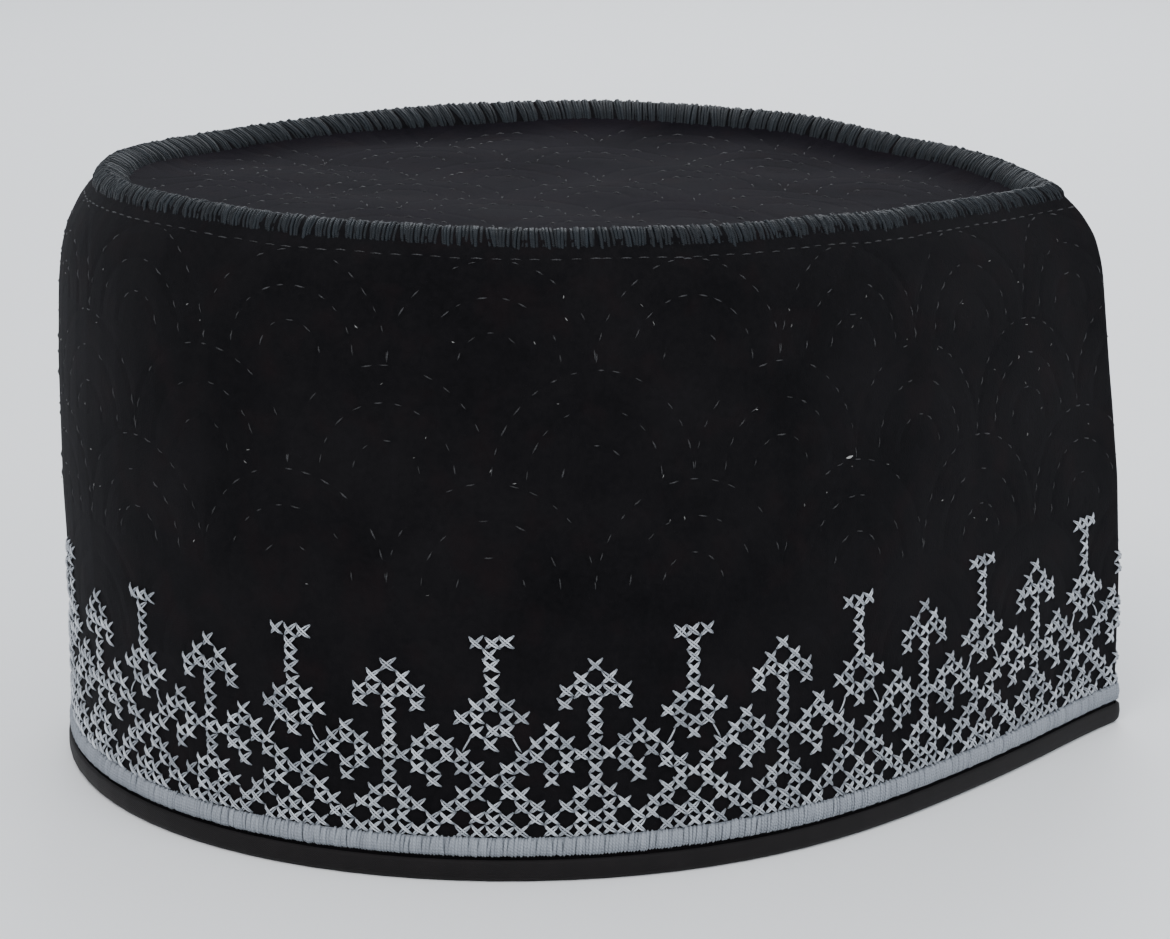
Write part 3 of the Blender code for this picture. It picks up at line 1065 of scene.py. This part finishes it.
class SKULLCAP_OT_quilting(bpy.types.Operator):
    """Scale quilting of wall and crown and the running line below the seam"""
    bl_idname = "skullcap.quilting"
    bl_label = "Quilting"

    wall_rows = 3
    running_stitch = 2.5 * MM
    edge_gap = 7.0 * MM                     # free edge of the crown panel
    # How far along it and, in millimetres, how far off the cloth a stitch has its points
    wall_dip = ((0.0, -0.08), (0.5, 0.10), (1.0, -0.08))
    crown_dip = ((0.0, -0.05), (0.5, 0.12), (1.0, -0.05))

    def execute(self, context):
        rng = np.random.default_rng(21)
        size, look = sizes(), colours()
        black = thread_material("quilting_thread", shade(look.stitch, 0.2),
                                look.stitch, 0.42, 0.0)
        wall, wall_out = self.wall_lines(rng)
        crown, crown_out = self.crown_lines(rng)
        run = np.arange(0, skin.length - 2 * MM, size.stitch_length + size.stitch_gap)
        run = run + rng.normal(0, 0.15 * MM, len(run))
        rise = np.full_like(run, size.running_rise) + rng.normal(0, 0.08 * MM, len(run))
        running = self.wall_strokes(np.stack([run, rise], -1),
                                    np.stack([run + self.running_stitch, rise], -1))
        lines = np.concatenate([wall, running, crown])
        normals = np.concatenate([wall_out, self.wall_normals(run, rise), crown_out])
        # Painted light from above: the stitches grow darker lower down the wall
        painted_top_light = np.clip(lines[:, 1, 2] / (90 * MM), 0.3, 1) ** 2
        piece = thread_piece("quilting_stitches", lines, normals,
                             size.stitch_thread * rng.uniform(0.6, 1.05, len(lines)), black,
                             sides=4, tones=rng.uniform(0, 1, len(lines)) ** 2 * painted_top_light)
        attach(piece, "root")
        return {"FINISHED"}

    def wall_normals(self, run, rise):
        """Ways out of the wall."""
        return skin.sides(skin.quilt_point, run, rise)[2]

    def wall_strokes(self, start, end):
        """Short stitches pressed into the wall."""
        normal = self.wall_normals(start[:, 0], start[:, 1])
        points = []
        for share, off in self.wall_dip:
            at = start + (end - start) * share
            points.append(skin.quilt_point(at[:, 0], at[:, 1]) + normal * off * MM)
        return np.stack(points, 1)

    def wall_lines(self, rng):
        """Stitches of the rows of scales on the wall, and the ways out of the cloth."""
        radius = quilt_radius()
        start, end = scale_stitches([(FORK_RUN + (2 * repeat + row % 2) * radius,
                                      sizes().quilt_rise - radius * SCALE_TALL * (row + 1))
                                     for row in range(self.wall_rows)
                                     for repeat in range(BORDER_REPEATS)], rng)
        return self.wall_strokes(start, end), self.wall_normals(start[:, 0], start[:, 1])

    def crown_lines(self, rng):
        """Stitches of the scales on the crown, and the ways out of the cloth."""
        radius = quilt_radius()
        start, end = scale_stitches([((2 * column + row % 2) * radius,
                                      (row - 0.5) * radius * SCALE_TALL)
                                     for row in range(-4, 5) for column in range(-5, 6)], rng)
        lines, inside = [], True
        for share, off in self.crown_dip:
            at = start + (end - start) * share
            height, room = skin.crown_place(at[:, 0], at[:, 1])
            lines.append(np.column_stack([at, height + off * MM]))
            inside = inside & (room > self.edge_gap)
        lines = np.stack(lines, 1)[inside]
        return lines, np.broadcast_to(UP, (len(lines), 3))


class SKULLCAP_OT_lint(bpy.types.Operator):
    """Lint specks on the velvet"""
    bl_idname = "skullcap.lint"
    bl_label = "Lint"

    count = 150
    # Length, angle and radius of the one that stands out
    big = (1.5 * MM, 0.1, 0.26 * MM)

    def execute(self, context):
        rng = np.random.default_rng(8)
        run = rng.uniform(0, skin.length, self.count)
        climb = rng.uniform(47 * MM, 104 * MM, self.count)
        run, climb = np.append([run, climb], np.reshape(self.big_speck(), (2, 1)), 1)
        along, upward, normal = skin.sides(skin.point, run, climb)
        length = rng.uniform(0.25, 0.8, self.count + 1) * MM
        angle = rng.uniform(0, math.pi, self.count + 1)
        radius = rng.uniform(0.05, 0.11, self.count + 1) * MM
        length[-1], angle[-1], radius[-1] = self.big
        way = along * np.cos(angle)[:, None] + upward * np.sin(angle)[:, None]
        place = skin.point(run, climb) + normal * 0.12 * MM
        lines = np.stack([place + way * (length * share)[:, None] + normal * off * MM
                          for share, off in ((-0.5, 0.0), (0.0, 0.12), (0.5, 0.02))], 1)
        tones = rng.uniform(0, 1, self.count + 1) ** 2
        tones[-1] = 1.0
        white = colours().lint
        fluff = thread_material("lint_fluff", shade(white, 0.2), white, 0.7, 0.3)
        piece = thread_piece("lint_specks", lines, normal, radius, fluff, tones=tones)
        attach(piece, "root")
        return {"FINISHED"}

    def big_speck(self):
        """Run and climb of the speck seen at LINT_PIXEL."""
        focal = CAMERA_LENS / CAMERA_SENSOR * PHOTO_SIZE[0]
        right = (LINT_PIXEL[0] - PHOTO_SIZE[0] / 2) / focal
        rise = (PHOTO_SIZE[1] / 2 - LINT_PIXEL[1]) / focal
        way = Vector((right, math.cos(CAMERA_PITCH) + rise * math.sin(CAMERA_PITCH),
                      rise * math.cos(CAMERA_PITCH) - math.sin(CAMERA_PITCH))).normalized()
        hit = tree_of("side_wall").ray_cast(Vector(CAMERA_PLACE), way)[0]
        turn = math.atan2(hit.x, -hit.y)
        run = np.interp(turn, skin.ring_turns, skin.runs) - skin.front
        return run, hit.z


class SKULLCAP_OT_stage(bpy.types.Operator):
    """Pale floor, soft studio lights and the camera"""
    bl_idname = "skullcap.stage"
    bl_label = "Studio stage"

    # Name, place, what it looks at, size, power in watts and colour of each lamp
    lamps = (
        ("key", (-0.34, -0.86, 1.10), (0.0, 0.0, 0.07), 0.7, 9.0, (1.0, 0.98, 0.96)),
        ("fill", (0.95, -0.85, 0.70), (0.0, 0.0, 0.05), 0.9, 5.0, (0.93, 0.96, 1.0)),
        ("back", (0.15, 1.15, 0.75), (0.0, 0.0, 0.11), 0.8, 6.0, (0.93, 0.96, 1.0)),
    )
    # The narrow beam that glints on the seam, and its width and source radius
    beam = ("glint", (-0.12, 0.80, 0.95), (-0.040, -0.070, 0.110), 22.0, (0.85, 0.91, 1.0))
    beam_width = math.radians(2.4)
    beam_source = 0.02
    sky, sky_strength = (0.90, 0.94, 1.0, 1.0), 1.25
    # The floor: rows of the grid and the share of them that lies level, half its width,
    # where it starts and where it bends up, how round the bend is, and how high it ends
    rows, level = 24, 0.4
    half_width, near, bend, roundness, top = 3.5, -2.5, 1.8, 1.4, 3.5

    def execute(self, context):
        look = colours()
        graph = Graph("floor_plain", Specular_IOR_Level=0.3)
        grain = graph.noise(14, 3.0)
        colour = graph.mix(grain * 0.4, look.floor, shade(look.floor, 0.93))
        material = graph.set(Base_Color=colour, Roughness=0.45 + grain * 0.2)
        bm = bmesh.new()
        bmesh.ops.create_grid(bm, x_segments=1, y_segments=self.rows - 1, size=1.0)
        for vertex in bm.verts:
            vertex.co = self.sweep(vertex.co)
        smooth_piece("floor", mesh_of("floor", bm), material)
        scene = context.scene
        world = bpy.data.worlds.new("studio")
        scene.world = world
        world.use_nodes = True
        back = world.node_tree.nodes["Background"]
        back.inputs["Color"].default_value = self.sky
        back.inputs["Strength"].default_value = self.sky_strength
        for name, place, aim, size, power, glow in self.lamps:
            light = self.lamp(name, "AREA", place, aim, power, glow)
            light.shape, light.size = "DISK", size
        light = self.lamp(self.beam[0], "SPOT", *self.beam[1:])
        light.spot_size, light.spot_blend = self.beam_width, 1.0
        light.shadow_soft_size = self.beam_source
        camera = bpy.data.cameras.new("camera")
        camera.lens, camera.sensor_width = CAMERA_LENS, CAMERA_SENSOR
        camera.dof.use_dof = False
        camera.clip_start, camera.clip_end = 0.01, 20.0
        eye = bpy.data.objects.new("camera", camera)
        scene.collection.objects.link(eye)
        eye.location = CAMERA_PLACE
        eye.rotation_euler = (math.pi / 2 - CAMERA_PITCH, 0.0, 0.0)
        scene.camera = eye
        return {"FINISHED"}

    def lamp(self, name, kind, place, aim, power, glow):
        """A lamp that looks at a place."""
        light = bpy.data.lights.new(name, kind)
        light.energy, light.color = power, glow
        lamp = bpy.data.objects.new(name, light)
        bpy.context.scene.collection.objects.link(lamp)
        lamp.location = place
        lamp.rotation_euler = (Vector(aim) - Vector(place)).to_track_quat("-Z", "Y").to_euler()
        return light

    def sweep(self, place):
        """A place of a flat grid from -1 to 1, moved onto a floor that curves up into a
        backdrop behind the cap."""
        share = (place.y + 1) / 2
        angle = max(share - self.level, 0) / (1 - self.level) * math.pi / 2
        y = self.near + min(share / self.level, 1) * (self.bend - self.near)
        z = self.top if share > 0.99 else self.roundness * (1 - math.cos(angle))
        return place.x * self.half_width, y + self.roundness * math.sin(angle), z


class SKULLCAP_PT_panel(bpy.types.Panel):
    """Buttons and values of the skullcap"""
    bl_idname = "SKULLCAP_PT_panel"
    bl_label = "Skullcap"
    bl_space_type = "VIEW_3D"
    bl_region_type = "UI"
    bl_category = "Skullcap"

    def draw(self, context):
        for operator in operators:
            self.layout.operator(operator.bl_idname)
        for group in (context.scene.skullcap_sizes, context.scene.skullcap_colours):
            box = self.layout.box()
            for name in group.__annotations__:
                box.prop(group, name)


operators = (
    SKULLCAP_OT_stage,
    SKULLCAP_OT_binding,
    SKULLCAP_OT_wall,
    SKULLCAP_OT_crown,
    SKULLCAP_OT_seam,
    SKULLCAP_OT_hem,
    SKULLCAP_OT_border,
    SKULLCAP_OT_quilting,
    SKULLCAP_OT_lint,
)
classes = (SkullcapSizes, SkullcapColours, *operators, SKULLCAP_PT_panel)


def register():
    """Add the classes and the scene's values to Blender."""
    for item in classes:
        bpy.utils.register_class(item)
    bpy.types.Scene.skullcap_sizes = bpy.props.PointerProperty(type=SkullcapSizes)
    bpy.types.Scene.skullcap_colours = bpy.props.PointerProperty(type=SkullcapColours)


def unregister():
    """Take them out again."""
    del bpy.types.Scene.skullcap_colours
    del bpy.types.Scene.skullcap_sizes
    for item in reversed(classes):
        bpy.utils.unregister_class(item)


def main():
    """Make every piece in order."""
    register()
    for operator in operators:
        group, name = operator.bl_idname.split(".")
        getattr(getattr(bpy.ops, group), name)()


if __name__ == "__main__":
    main()
